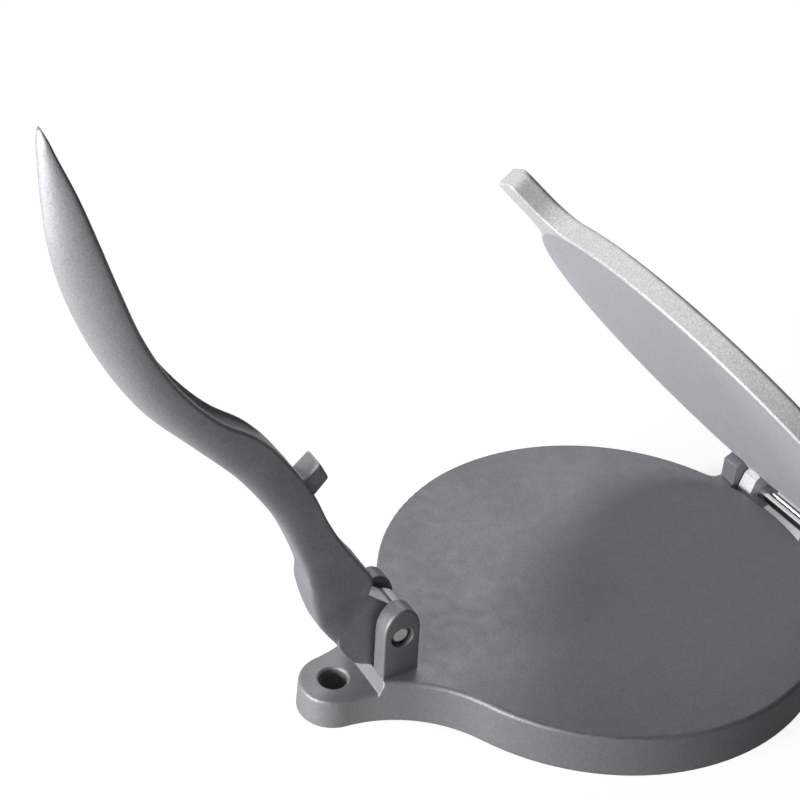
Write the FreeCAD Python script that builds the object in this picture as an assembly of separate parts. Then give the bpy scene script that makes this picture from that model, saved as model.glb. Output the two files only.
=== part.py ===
import FreeCAD, Part
import math
import os

# Cast aluminium tortilla press, in millimetres.
# +X points from the lever to the hinge, +Z up.
# The upper plate stands open and the lever leans back on its heel.
# The pieces are drawn about the centre of the round plates, at table height, and then
# moved together so that the origin is in the middle of the hanging hole.

V = FreeCAD.Vector
Y_AXIS = V(0, 1, 0)
Z_AXIS = V(0, 0, 1)
SIDES = (-1, 1)

# Fits and overruns
running_fit = 0.08
seat_fit = 0.01
side_play = 0.5
seat_gap = 0.2
overrun = 5.0

# Lower plate
disc_radius = 100.0
base_height = 19.4
skirt_draft = 1.2
rim_round = 2.0
floor_thickness = 5.0
skirt_wall = 6.0
recess_round = 3.0
floor_rib_width = 4.0
floor_rib_height = 5.0
floor_rib_count = 8
floor_hub_radius = 20.0

# Tongue with its hanging hole, and the concave neck that joins it to the disc
hole_past_rim = 34.0
tongue_radius = 14.0
tongue_height = 13.4
neck_radius = 60.0
hang_hole_radius = 6.0
hang_hole_chamfer = 0.8
tongue_round = 1.5
step_setback = 14.4
step_run = 2.2
tongue_reach = disc_radius + hole_past_rim
step_top_x = step_setback - tongue_reach
step_foot_x = step_top_x - step_run

# Lever ears and pin
ear_depth = 16.5
ear_slot_half = 8.0
ear_thickness = 7.5
ear_crown_height = 12.0
ear_pivot_lift = 19.6
ear_crown_lift = 2.0
ear_edge_round = 0.8
pin_radius = 3.75
pin_mouth_radius = 4.9
pin_mouth_depth = 3.0
pin_stand = 1.2
pin_chamfer = 0.6
pivot_x = step_top_x + ear_depth / 2
pivot_z = base_height + ear_pivot_lift
ear_outer = ear_slot_half + ear_thickness

# Hinge: the rod, the outer lugs on the base and the inner lugs on the lid
rod_radius = 3.5
rod_chamfer = 0.5
rod_recess = 0.5
hinge_setback = 9.9
hinge_drop = 2.4
lid_lug_inner = 18.0
lid_lug_width = 8.5
base_lug_width = 9.0
base_lug_front_gap = 2.3
base_lug_front_rise = 10.1
base_lug_bevel_run = 6.8
base_lug_bevel_rise = 3.2
base_lug_rear = 12.0
base_lug_root = 15.0
base_lug_flare = 8.0
hinge_x = disc_radius + hinge_setback
hinge_z = base_height - hinge_drop
lid_lug_outer = lid_lug_inner + lid_lug_width
base_lug_inner = lid_lug_outer + side_play
base_lug_outer = base_lug_inner + base_lug_width

# Upper plate
lid_radius = 98.0
lid_thickness = 9.5
lid_gap = 0.5
lid_rim_round = 1.6
lid_face_round = 0.8
lid_rim_width = 8.0
lid_pocket_depth = 4.0
lid_pocket_round = 1.5
lid_pad_radius = 32.0
lid_rib_width = 8.0
lid_rib_count = 6
lid_tab_angle = 147.0
lid_tab_width = 25.0
lid_tab_reach = 28.0
lid_tab_flare = 16.0
lid_tab_corner = 5.0
lid_lug_eye = 9.8
lid_lug_setback = 1.2
lid_lug_front = 10.5
lid_relief_gap = 1.0
lid_open_angle = 50.5
lid_face_z = base_height + lid_gap
lid_top_z = lid_face_z + lid_thickness

# Lever
lever_length = 268.0
lever_hub_half = ear_slot_half - side_play
lever_hub_reach = 8.4
lever_hub_crown = 12.0
lever_hub_sweep = 18.6
stub_width = 10.0
stub_depth = 8.4
stub_length = 11.0
stub_root = 6.0
stub_round = 0.6
stub_angle = 44.5
stub_place_share = (0.1430, 0.2950)
trough_over = 4.0
lever_corner_share = 0.2
lever_side_share = (0.94, 0.5)
lever_back_share = (0.62, 0.88)
seat_z = base_height + seat_gap


def polygon(points):
    return Part.makePolygon(points + [points[0]])


def prism_y(points, y_from, y_to):
    """Solid of a closed outline in the XZ plane, between two heights on Y."""
    outline = polygon([V(x, y_from, z) for x, z in points])
    return Part.Face(outline).extrude(V(0, y_to - y_from, 0))


def wall_y(edges, y_from, y_to):
    """Solid of joined edges drawn in the XZ plane at Y = 0, between two heights on Y."""
    face = Part.Face(Part.Wire(edges))
    face.translate(V(0, y_from, 0))
    return face.extrude(V(0, y_to - y_from, 0))


def rod_y(radius, x, z, y_from, y_to):
    return Part.makeCylinder(radius, y_to - y_from, V(x, y_from, z), Y_AXIS)


def arc3(start, middle, end):
    return Part.Arc(start, middle, end).toShape()


def line(start, end):
    return Part.LineSegment(start, end).toShape()


def chamfered_rod_y(radius, chamfer, x, z, half_length):
    rod = rod_y(radius, x, z, -half_length, half_length)
    ends = [e for e in rod.Edges if e.Closed]
    return rod.makeChamfer(chamfer, ends)


def same(a, b, tolerance=overrun / 5000):
    return abs(a - b) < tolerance


# Lower plate
def neck_centre():
    """Centre of the neck arc on +Y, tangent to the disc and to the tongue."""
    disc_side = disc_radius + neck_radius
    tongue_side = tongue_radius + neck_radius
    x = -(tongue_reach**2 + disc_side**2 - tongue_side**2) / (2 * tongue_reach)
    return V(x, math.sqrt(disc_side**2 - x**2), 0)


def pear(grow, z):
    """Outline of disc, neck and tongue, grown outward by an offset, at a height."""
    neck = neck_centre()
    tongue = V(-tongue_reach, 0, 0)
    to_neck = (neck - tongue).normalize()
    on_disc = V(neck).normalize() * (disc_radius + grow)
    on_tongue = tongue + to_neck * (tongue_radius + grow)
    chord_middle = (on_disc + on_tongue) * 0.5
    on_neck = neck + (chord_middle - neck).normalize() * (neck_radius - grow)

    def low(point):
        return V(point.x, -point.y, z)

    def high(point):
        return V(point.x, point.y, z)

    disc_tip = V(disc_radius + grow, 0, z)
    tongue_tip = V(-tongue_reach - tongue_radius - grow, 0, z)
    edges = [
        arc3(high(on_disc), disc_tip, low(on_disc)),
        arc3(low(on_disc), low(on_neck), low(on_tongue)),
        arc3(low(on_tongue), tongue_tip, high(on_tongue)),
        arc3(high(on_tongue), high(on_neck), high(on_disc)),
    ]
    return Part.Wire(edges)


def plate_blank():
    body = Part.makeLoft([pear(skirt_draft, 0), pear(0, base_height)], True, True)
    rim = [e for e in body.Edges if same(e.BoundBox.ZMin, base_height)]
    body = body.makeFillet(rim_round, rim)
    slope = (step_foot_x - step_top_x) / (tongue_height - base_height)
    step_over_x = step_top_x + slope * overrun
    front_x = -tongue_reach - tongue_radius - overrun
    cutter = prism_y(
        [
            (step_over_x, base_height + overrun),
            (step_foot_x, tongue_height),
            (front_x, tongue_height),
            (front_x, base_height + overrun),
        ],
        -disc_radius,
        disc_radius,
    )
    body = body.cut(cutter)
    tongue_rim = [
        e
        for e in body.Edges
        if same(e.BoundBox.ZMin, tongue_height)
        and same(e.BoundBox.ZMax, tongue_height)
        and e.BoundBox.XMin < step_foot_x - tongue_round
    ]
    return body.makeFillet(tongue_round, tongue_rim)


def floor_recess():
    """Round hollow under the disc, with low radial ribs left standing on its ceiling."""
    ceiling = base_height - floor_thickness
    mouth = disc_radius - skirt_wall
    profile = [
        line(V(0, 0, -overrun), V(mouth, 0, -overrun)),
        line(V(mouth, 0, -overrun), V(mouth - skirt_draft, 0, ceiling)),
        line(V(mouth - skirt_draft, 0, ceiling), V(0, 0, ceiling)),
        line(V(0, 0, ceiling), V(0, 0, -overrun)),
    ]
    hollow = Part.Face(Part.Wire(profile)).revolve(V(0, 0, 0), Z_AXIS, 360)
    corner = [
        e
        for e in hollow.Edges
        if same(e.BoundBox.ZMin, ceiling) and same(e.BoundBox.ZMax, ceiling)
    ]
    hollow = hollow.makeFillet(recess_round, corner)
    hub = Part.makeCylinder(floor_hub_radius, floor_rib_height, V(0, 0, ceiling - floor_rib_height))
    ribs = [hub]
    for number in range(floor_rib_count):
        rib = Part.makeBox(
            disc_radius,
            floor_rib_width,
            floor_rib_height,
            V(0, -floor_rib_width / 2, ceiling - floor_rib_height),
        )
        rib.rotate(V(0, 0, 0), Z_AXIS, 360 * number / floor_rib_count)
        ribs.append(rib)
    return hollow.cut(ribs[0].multiFuse(ribs[1:]))


def ear(side):
    """One upright ear with an arched crown, its root sunk into the plate."""
    half = ear_depth / 2
    crown_z = pivot_z + ear_crown_lift
    foot_z = base_height - rim_round
    centre = V(pivot_x, 0, crown_z)
    top = V(pivot_x, 0, crown_z + ear_crown_height)
    arch = Part.Ellipse(top, V(pivot_x + half, 0, crown_z), centre)
    crown = half_ellipse(arch, centre, half)
    edges = [
        line(V(pivot_x - half, 0, foot_z), V(pivot_x - half, 0, crown_z)),
        crown,
        line(V(pivot_x + half, 0, crown_z), V(pivot_x + half, 0, foot_z)),
        line(V(pivot_x + half, 0, foot_z), V(pivot_x - half, 0, foot_z)),
    ]
    near = ear_slot_half if side > 0 else -ear_outer
    body = wall_y(edges, near, near + ear_thickness)
    outer_y = side * ear_outer
    outer = [
        e
        for e in body.Edges
        if same(e.BoundBox.YMin, outer_y)
        and same(e.BoundBox.YMax, outer_y)
        and e.BoundBox.ZMax > base_height
    ]
    return body.makeFillet(ear_edge_round, outer)


def half_ellipse(ellipse, centre, half):
    """The part of an upright ellipse above its centre, from left to right."""
    points = [ellipse.parameter(centre + V(s * half, 0, 0)) for s in (-1, 1)]
    first = Part.ArcOfEllipse(ellipse, points[0], points[1])
    middle = first.value((first.FirstParameter + first.LastParameter) / 2)
    if middle.z < centre.z:
        first = Part.ArcOfEllipse(ellipse, points[1], points[0])
    return first.toShape()


def base_lug(side):
    """Outer hinge lug: an upright front, a bevelled crown and a round back."""
    front = disc_radius - base_lug_front_gap
    shoulder_z = base_height + base_lug_front_rise
    crown = V(front + base_lug_bevel_run, 0, shoulder_z + base_lug_bevel_rise)
    root = disc_radius - base_lug_root
    back = V(hinge_x + base_lug_rear, 0, hinge_z)
    belly = V(hinge_x, 0, hinge_z - base_lug_rear)
    crown_reach = crown - V(hinge_x, 0, hinge_z)
    turn = math.radians(45)
    over = V(hinge_x, 0, hinge_z) + V(math.cos(turn), 0, math.sin(turn)) * (
        (crown_reach.Length + base_lug_rear) / 2
    )
    under = V(hinge_x, 0, hinge_z) + V(math.cos(turn), 0, -math.sin(turn)) * base_lug_rear
    edges = [
        line(V(root, 0, 0), V(root, 0, base_height)),
        line(V(root, 0, base_height), V(front, 0, base_height)),
        line(V(front, 0, base_height), V(front, 0, shoulder_z)),
        line(V(front, 0, shoulder_z), crown),
        arc3(crown, over, back),
        arc3(back, under, belly),
        line(belly, V(disc_radius, 0, 0)),
        line(V(disc_radius, 0, 0), V(root, 0, 0)),
    ]
    near = base_lug_inner if side > 0 else -base_lug_outer
    return wall_y(edges, near, near + base_lug_width)


def lug_flare(side):
    """Concave web in plan between the rim of the disc and the outside of a lug."""
    reach = disc_radius + base_lug_flare
    centre_y = base_lug_outer + base_lug_flare
    centre_x = math.sqrt(reach**2 - centre_y**2)
    on_rim = V(centre_x, centre_y, 0) * (disc_radius / reach)
    on_lug = V(centre_x, base_lug_outer, 0)
    centre = V(centre_x, centre_y, 0)
    waist = centre + ((on_rim + on_lug) * 0.5 - centre).normalize() * base_lug_flare
    inside = V(disc_radius - base_lug_root, base_lug_inner, 0)
    corner = V(centre_x, base_lug_inner, 0)

    def put(point):
        return V(point.x, side * point.y, 0)

    edges = [
        arc3(put(on_rim), put(waist), put(on_lug)),
        line(put(on_lug), put(corner)),
        line(put(corner), put(inside)),
        line(put(inside), put(on_rim)),
    ]
    web = Part.Face(Part.Wire(edges)).extrude(V(0, 0, base_height - rim_round / 2))
    return web


def base():
    body = plate_blank().cut(floor_recess())
    added = [ear(s) for s in SIDES] + [base_lug(s) for s in SIDES] + [lug_flare(s) for s in SIDES]
    body = body.multiFuse(added).removeSplitter()
    through = ear_outer + overrun
    cuts = [rod_y(pin_radius + seat_fit, pivot_x, pivot_z, -through, through)]
    for side in SIDES:
        mouth_from = ear_outer - pin_mouth_depth
        low, high = sorted((side * mouth_from, side * (ear_outer + overrun)))
        cuts.append(rod_y(pin_mouth_radius, pivot_x, pivot_z, low, high))
    for side in SIDES:
        low, high = sorted((side * (base_lug_inner - side_play), side * (base_lug_outer + overrun)))
        cuts.append(rod_y(rod_radius + seat_fit, hinge_x, hinge_z, low, high))
    hole_length = tongue_height + 2 * overrun
    hole = Part.makeCylinder(hang_hole_radius, hole_length, V(-tongue_reach, 0, -overrun))
    sink = Part.makeCone(
        hang_hole_radius,
        hang_hole_radius + 2 * hang_hole_chamfer,
        2 * hang_hole_chamfer,
        V(-tongue_reach, 0, tongue_height - hang_hole_chamfer),
    )
    cuts += [hole, sink]
    for cutter in cuts:
        body = body.cut(cutter)
    return body


# Upper plate, drawn closed and then swung open about the rod
def lid_disc():
    return Part.makeCylinder(lid_radius, lid_thickness, V(0, 0, lid_face_z))


def lid_tab():
    """Finger tab in plan: a straight-sided tongue that flares into the rim."""
    half = lid_tab_width / 2
    reach = lid_radius + lid_tab_flare
    side_y = half + lid_tab_flare
    centre = V(math.sqrt(reach**2 - side_y**2), side_y, 0)
    on_rim = centre * (lid_radius / reach)
    on_tab = V(centre.x, half, 0)
    waist = centre + ((on_rim + on_tab) * 0.5 - centre).normalize() * lid_tab_flare
    tip_x = lid_radius + lid_tab_reach
    corner = V(tip_x - lid_tab_corner, half - lid_tab_corner, 0)
    turn = math.sqrt(0.5)
    bend = corner + V(turn, turn, 0) * lid_tab_corner

    def low(point):
        return V(point.x, -point.y, 0)

    edges = [
        arc3(on_rim, waist, on_tab),
        line(on_tab, V(corner.x, half, 0)),
        arc3(V(corner.x, half, 0), bend, V(tip_x, corner.y, 0)),
        line(V(tip_x, corner.y, 0), low(V(tip_x, corner.y, 0))),
        arc3(low(V(tip_x, corner.y, 0)), low(bend), low(V(corner.x, half, 0))),
        line(low(V(corner.x, half, 0)), low(on_tab)),
        arc3(low(on_tab), low(waist), low(on_rim)),
        line(low(on_rim), on_rim),
    ]
    tab = Part.Face(Part.Wire(edges)).extrude(V(0, 0, lid_thickness))
    tab.translate(V(0, 0, lid_face_z))
    tab.rotate(V(0, 0, 0), Z_AXIS, lid_tab_angle)
    return tab


def lid_pockets():
    """Shallow pockets that leave a rim, a centre pad and radial ribs on the top side."""
    outer = lid_radius - lid_rim_width
    floor_z = lid_top_z - lid_pocket_depth
    depth = lid_pocket_depth + overrun
    ring = Part.makeCylinder(outer, depth, V(0, 0, floor_z)).cut(
        Part.makeCylinder(lid_pad_radius, depth, V(0, 0, floor_z))
    )
    for number in range(lid_rib_count):
        rib = Part.makeBox(lid_radius, lid_rib_width, depth, V(0, -lid_rib_width / 2, floor_z))
        rib.rotate(V(0, 0, 0), Z_AXIS, 360 * number / lid_rib_count)
        ring = ring.cut(rib)
    floor_edges = [
        e for e in ring.Edges if same(e.BoundBox.ZMin, floor_z) and same(e.BoundBox.ZMax, floor_z)
    ]
    return ring.makeFillet(lid_pocket_round, floor_edges)


def lid_lug(side):
    """Inner hinge lug: it leaves the rim of the lid and wraps the rod."""
    eye = V(hinge_x + lid_lug_setback, 0, hinge_z)
    front_x = hinge_x - lid_lug_front
    root = V(lid_radius - lid_rim_width, 0, lid_face_z)
    root_top = V(root.x, 0, lid_top_z)
    heel = V(front_x, 0, hinge_z)
    shoulder = V(lid_radius, 0, lid_top_z)

    def touch(point, sign):
        """Point where a line from a point touches the eye circle."""
        span = V(point.x - eye.x, 0, point.z - eye.z)
        base_turn = math.atan2(span.z, span.x)
        swing = math.acos(lid_lug_eye / span.Length)
        turn = base_turn + sign * swing
        return eye + V(math.cos(turn), 0, math.sin(turn)) * lid_lug_eye

    top_touch = touch(shoulder, -1)
    heel_touch = touch(heel, 1)
    back = eye + V(lid_lug_eye, 0, 0)
    edges = [
        line(root, root_top),
        line(root_top, shoulder),
        line(shoulder, top_touch),
        arc3(top_touch, back, heel_touch),
        line(heel_touch, heel),
        line(heel, V(front_x, 0, lid_face_z)),
        line(V(front_x, 0, lid_face_z), root),
    ]
    near = lid_lug_inner if side > 0 else -lid_lug_outer
    return wall_y(edges, near, near + lid_lug_width)


def rim_edges(body, z):
    return [
        e
        for e in body.Edges
        if same(e.BoundBox.ZMin, z)
        and same(e.BoundBox.ZMax, z)
        and max(V(v.Point.x, v.Point.y, 0).Length for v in e.Vertexes) > lid_radius - overrun / 50
    ]


def upper_plate():
    body = lid_disc().fuse(lid_tab()).removeSplitter()
    body = body.makeFillet(lid_rim_round, rim_edges(body, lid_top_z))
    body = body.makeFillet(lid_face_round, rim_edges(body, lid_face_z))
    body = body.cut(lid_pockets())
    shoulder = V(disc_radius - base_lug_front_gap, 0, base_height + base_lug_front_rise)
    relief = (shoulder - V(hinge_x, 0, hinge_z)).Length + lid_relief_gap
    for side in SIDES:
        low, high = sorted((side * lid_lug_outer, side * (base_lug_outer + side_play)))
        body = body.cut(rod_y(relief, hinge_x, hinge_z, low, high))
    body = body.multiFuse([lid_lug(s) for s in SIDES])
    through = lid_lug_outer + overrun
    body = body.cut(rod_y(rod_radius + running_fit, hinge_x, hinge_z, -through, through))
    body.rotate(V(hinge_x, 0, hinge_z), Y_AXIS, lid_open_angle)
    return body


# Lever, drawn leaned back on its heel.
# Each station: inner edge and back edge, forward and up from the pivot, as shares of
# the lever's length, and the half width there in millimetres at the full length.
lever_station_share = [
    (0.4620, 0.8800, 0.4690, 0.8720, 0.0070),
    (0.4530, 0.8530, 0.4690, 0.8450, 0.0150),
    (0.4345, 0.8020, 0.4705, 0.7900, 0.0245),
    (0.4155, 0.7420, 0.4670, 0.7300, 0.0310),
    (0.3950, 0.6750, 0.4530, 0.6620, 0.0336),
    (0.3705, 0.6035, 0.4240, 0.5820, 0.0340),
    (0.3265, 0.5190, 0.3710, 0.4860, 0.0330),
    (0.2680, 0.4485, 0.3050, 0.4110, 0.0290),
    (0.2100, 0.4020, 0.2560, 0.3580, 0.0255),
    (0.1700, 0.3480, 0.2240, 0.3150, 0.0245),
    (0.1330, 0.2855, 0.1860, 0.2530, 0.0245),
    (0.1090, 0.2284, 0.1627, 0.2000, 0.0250),
    (0.0770, 0.1690, 0.1440, 0.1440, 0.0262),
    (0.0483, 0.1250, 0.1405, 0.1138, 0.0320),
    (0.0338, 0.1011, 0.1326, 0.0821, 0.0345),
    (0.0379, 0.0877, 0.1181, 0.0317, 0.0325),
]
trough_station_share = [
    (0.4500, 0.8440, 0.0080, 0.0200),
    (0.4345, 0.8020, 0.0170, 0.0300),
    (0.4155, 0.7420, 0.0235, 0.0400),
    (0.3950, 0.6750, 0.0262, 0.0420),
    (0.3705, 0.6035, 0.0266, 0.0420),
    (0.3265, 0.5190, 0.0256, 0.0400),
    (0.2680, 0.4485, 0.0190, 0.0300),
    (0.2370, 0.4220, 0.0080, 0.0120),
]
trough_side_share = [(1, 0), (0.866, 0.5), (0.5, 0.866)]

# Outline of the foot: its heel, and the line on which the arm grows out of it.
heel_curve_share = [
    (0.0330, -0.0720),
    (0.0718, -0.0403),
    (0.0946, -0.0067),
    (0.1120, 0.0200),
]
hub_root_share = [
    (0.1040, 0.0597),
    (0.0700, 0.1080),
    (0.0424, 0.0769),
]


def lever_point(forward_share, up_share):
    return V(pivot_x - forward_share * lever_length, 0, pivot_z + up_share * lever_length)


def local(origin, inward, across, along):
    """Point of a section: across is along Y, along is towards the inner side."""
    return origin + Y_AXIS * across + inward * along


def arm_section(station):
    """Flat inner side with soft corners, and a full round back."""
    in_x, in_z, out_x, out_z, half_share = station
    inner = lever_point(in_x, in_z)
    back = lever_point(out_x, out_z)
    inward = (inner - back).normalize()
    half = half_share * lever_length
    depth = (inner - back).Length
    corner = min(half, depth) * lever_corner_share
    turned = corner * (1 - math.sqrt(0.5))
    deep = depth - corner
    sides = [(1, 0), lever_side_share, lever_back_share]
    left = [local(inner, inward, half * y, -corner - deep * z) for y, z in sides]
    right = [V(p.x, -p.y, p.z) for p in reversed(left)]
    round_back = Part.BSplineCurve()
    round_back.interpolate(
        Points=left + [local(inner, inward, 0, -depth)] + right,
        InitialTangent=-inward * depth,
        FinalTangent=inward * depth,
    )
    edges = [
        line(local(inner, inward, corner - half, 0), local(inner, inward, half - corner, 0)),
        arc3(
            local(inner, inward, half - corner, 0),
            local(inner, inward, half - turned, -turned),
            local(inner, inward, half, -corner),
        ),
        round_back.toShape(),
        arc3(
            local(inner, inward, -half, -corner),
            local(inner, inward, turned - half, -turned),
            local(inner, inward, corner - half, 0),
        ),
    ]
    return Part.Wire(edges)


def arm_directions():
    """Inner point and direction from back to inner side, at each station of the arm."""
    found = []
    for in_x, in_z, out_x, out_z, half in lever_station_share:
        inner = lever_point(in_x, in_z)
        back = lever_point(out_x, out_z)
        found.append((inner, (inner - back).normalize()))
    return found


def trough_section(inner, inward, half, depth):
    over = trough_over
    side = [local(inner, inward, half * y, -depth * z) for y, z in trough_side_share]
    other = [V(p.x, -p.y, p.z) for p in reversed(side)]
    bowl = Part.BSplineCurve()
    bowl.interpolate(
        Points=side + [local(inner, inward, 0, -depth)] + other,
        InitialTangent=-inward * depth,
        FinalTangent=inward * depth,
    )
    edges = [
        line(local(inner, inward, -half, over), local(inner, inward, half, over)),
        line(local(inner, inward, half, over), local(inner, inward, half, 0)),
        bowl.toShape(),
        line(local(inner, inward, -half, 0), local(inner, inward, -half, over)),
    ]
    return Part.Wire(edges)


def trough():
    """Hollow of the spoon-shaped grip, open on its inner side."""
    directions = arm_directions()
    wires = []
    for in_x, in_z, half_share, depth_share in trough_station_share:
        inner = lever_point(in_x, in_z)
        nearest = min(directions, key=lambda d: (d[0] - inner).Length)
        wires.append(
            trough_section(inner, nearest[1], half_share * lever_length, depth_share * lever_length)
        )
    return Part.makeLoft(wires, True, False)


def loft_stations(stations, section):
    wires = [section(station) for station in stations]
    return Part.makeLoft(wires, True, False)


def hub():
    """Flat-sided foot between the ears: heel, pivot barrel and the root of the arm."""
    front = Part.BSplineCurve()
    front.interpolate(Points=[lever_point(x, z) for x, z in heel_curve_share])
    root = [lever_point(x, z) for x, z in heel_curve_share[-1:] + hub_root_share]
    crown = V(pivot_x, 0, pivot_z + lever_hub_crown)
    right = V(pivot_x + lever_hub_reach, 0, pivot_z)
    swing = math.asin(lever_hub_reach / lever_hub_sweep)
    low_right = V(right.x, 0, pivot_z - lever_hub_sweep * math.cos(swing))
    bottom = V(pivot_x, 0, seat_z)
    toe = lever_point(*heel_curve_share[0])
    edges = [front.toShape()]
    edges += [line(a, b) for a, b in zip(root, root[1:])]
    edges += [line(root[-1], crown), quarter_crown(crown, right), line(right, low_right)]
    edges += [line(low_right, bottom), line(bottom, toe)]
    return wall_y(edges, -lever_hub_half, lever_hub_half)


def quarter_crown(crown, right):
    """Quarter of an upright ellipse from the crown of the barrel to its right side."""
    centre = V(crown.x, 0, right.z)
    ellipse = Part.Ellipse(crown, right, centre)
    a = ellipse.parameter(right)
    b = ellipse.parameter(crown)
    piece = Part.ArcOfEllipse(ellipse, min(a, b), max(a, b))
    if piece.length() > (crown - centre).Length * math.pi:
        piece = Part.ArcOfEllipse(ellipse, max(a, b), min(a, b))
    return piece.toShape()


def stub():
    """Block on the inner side of the arm that presses on the closed upper plate."""
    inner = lever_point(stub_place_share[0], stub_place_share[1])
    body = Part.makeBox(
        stub_length + stub_root, stub_width, stub_depth, V(-stub_root, -stub_width / 2, -stub_depth / 2)
    )
    long_edges = [e for e in body.Edges if e.BoundBox.XLength > stub_root]
    body = body.makeFillet(stub_round, long_edges)
    body.rotate(V(0, 0, 0), Y_AXIS, -stub_angle)
    body.translate(inner)
    return body


def lever():
    arm = loft_stations(lever_station_share, arm_section)
    body = arm.multiFuse([hub(), stub()])
    body = body.cut(trough())
    bore = rod_y(pin_radius + running_fit, pivot_x, pivot_z, -ear_slot_half, ear_slot_half)
    return body.cut(bore)


def main():
    os.makedirs("parts", exist_ok=True)
    rod_half = base_lug_outer - rod_recess
    pin_half = ear_outer - pin_mouth_depth + pin_stand
    nodes = {
        "base": base(),
        "upper_plate": upper_plate(),
        "lever": lever(),
        "hinge_rod": chamfered_rod_y(rod_radius, rod_chamfer, hinge_x, hinge_z, rod_half),
        "lever_pin": chamfered_rod_y(pin_radius, pin_chamfer, pivot_x, pivot_z, pin_half),
    }
    for name, shape in nodes.items():
        shape.translate(V(tongue_reach, 0, 0))
        print(name, len(shape.Solids), round(shape.Volume), shape.isValid(), shape.BoundBox)
        shape.exportStep("parts/" + name + ".step")


main()
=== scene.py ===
# %% [markdown]
# A tortilla press, step by step.
# The press is three aluminium castings, a lower plate, an upper plate and a lever, joined by
# two plain steel pins. The CAD model is loaded first as a fixed frame. It gives the plates and
# the pins their exact shapes, and the lever is made here. The rest of the lesson is about what
# makes bare shapes look like metal: surface grain, soft edges, wear, light and a camera that
# stands where the photographer stood.

import math

import bmesh
import bpy
from mathutils import Matrix, Vector


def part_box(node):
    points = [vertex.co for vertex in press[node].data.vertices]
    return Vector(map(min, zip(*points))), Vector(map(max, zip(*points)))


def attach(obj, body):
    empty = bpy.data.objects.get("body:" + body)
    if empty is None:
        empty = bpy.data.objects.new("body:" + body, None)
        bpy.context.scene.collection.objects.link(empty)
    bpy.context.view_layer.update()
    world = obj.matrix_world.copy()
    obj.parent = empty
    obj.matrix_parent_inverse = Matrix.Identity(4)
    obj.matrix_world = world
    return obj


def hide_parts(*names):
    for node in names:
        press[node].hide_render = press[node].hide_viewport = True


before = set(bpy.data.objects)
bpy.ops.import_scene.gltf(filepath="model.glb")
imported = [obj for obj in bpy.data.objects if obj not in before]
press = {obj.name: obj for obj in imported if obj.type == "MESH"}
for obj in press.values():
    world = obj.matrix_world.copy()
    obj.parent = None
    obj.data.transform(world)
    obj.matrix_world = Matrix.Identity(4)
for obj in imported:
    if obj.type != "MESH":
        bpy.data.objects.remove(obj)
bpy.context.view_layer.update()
print("pieces:", sorted(press))

# %% [markdown]
# Where things are. All lengths are in metres, and the origin is in the middle of the hanging
# hole at table height. X runs from the lever to the hinge, Y along the hinge rod and Z up.
# The camera and the light are placed from the middle of the lower plate's flat top.

# %% Landmarks
PLATE_OFFSET = 0.134
PLATE_HEIGHT = 0.0194
UPRIGHT = Vector((0.0, 0.0, 1.0))
SIDEWAYS = Vector((0.0, 1.0, 0.0))
PIVOT = Vector((0.02265, 0.0, 0.039))
LID_HINGE = Vector((0.2439, 0.0, 0.017))
LID_OPEN = Matrix.Rotation(math.radians(50.5), 3, "Y")
plate_centre = Vector((PLATE_OFFSET, 0.0, PLATE_HEIGHT))
lid_axis = LID_OPEN @ UPRIGHT
lid_centre = LID_HINGE + LID_OPEN @ Vector((PLATE_OFFSET - LID_HINGE.x, 0.0, 0.0))
base_low, base_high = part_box("base")
print("base spans", [round(v, 4) for v in base_low], [round(v, 4) for v in base_high])

# %% [markdown]
# The camera. A photograph fixes four things about its camera: how strongly it magnifies (the
# focal length), the direction it looks in, its tilt, and its distance. They were found by
# matching the round rims of the plate, because a circle seen at an angle is an ellipse whose
# shape gives the direction at once. Only the direction, distance and lens are written down,
# and the place of the camera follows from them, which is easier to read than a bare position.

# %% Camera
FRAME_PIXELS = 800.0
FOCAL_PIXELS = 1542.6
CAMERA_TURN = math.radians(-30.88)
CAMERA_PITCH = math.radians(33.6)
CAMERA_ROLL = math.radians(3.13)
CAMERA_DISTANCE = 0.6884
PLATE_PIXEL = (601.0, 573.7)
SENSOR_WIDTH = 36.0
NEAREST_SEEN = 0.01


def camera_axes(turn, pitch, roll):
    """Right, up and back of the camera, rolled about its line of sight."""
    back = Vector(
        (math.sin(turn) * math.cos(pitch), -math.cos(turn) * math.cos(pitch), math.sin(pitch))
    )
    right = Vector((math.cos(turn), math.sin(turn), 0.0))
    up = back.cross(right)
    rolled_right = right * math.cos(roll) + up * math.sin(roll)
    rolled_up = up * math.cos(roll) - right * math.sin(roll)
    return rolled_right, rolled_up, back


def place_camera():
    right, up, back = camera_axes(CAMERA_TURN, CAMERA_PITCH, CAMERA_ROLL)
    across = (PLATE_PIXEL[0] - FRAME_PIXELS / 2) / FOCAL_PIXELS
    down = (PLATE_PIXEL[1] - FRAME_PIXELS / 2) / FOCAL_PIXELS
    ray = right * across - up * down - back
    camera = bpy.data.cameras.new("camera")
    camera.sensor_fit = "HORIZONTAL"
    camera.sensor_width = SENSOR_WIDTH
    camera.lens = FOCAL_PIXELS / FRAME_PIXELS * SENSOR_WIDTH
    camera.clip_start = NEAREST_SEEN
    holder = bpy.data.objects.new("camera", camera)
    bpy.context.collection.objects.link(holder)
    matrix = holder.matrix_world.copy()
    place = plate_centre - ray * CAMERA_DISTANCE
    for row in range(3):
        matrix[row][0], matrix[row][1], matrix[row][2] = right[row], up[row], back[row]
        matrix[row][3] = place[row]
    holder.matrix_world = matrix
    bpy.context.scene.camera = holder
    return holder


camera = place_camera()
print("camera at", [round(v, 3) for v in camera.matrix_world.translation])
print("lens", round(camera.data.lens, 2))

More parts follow.
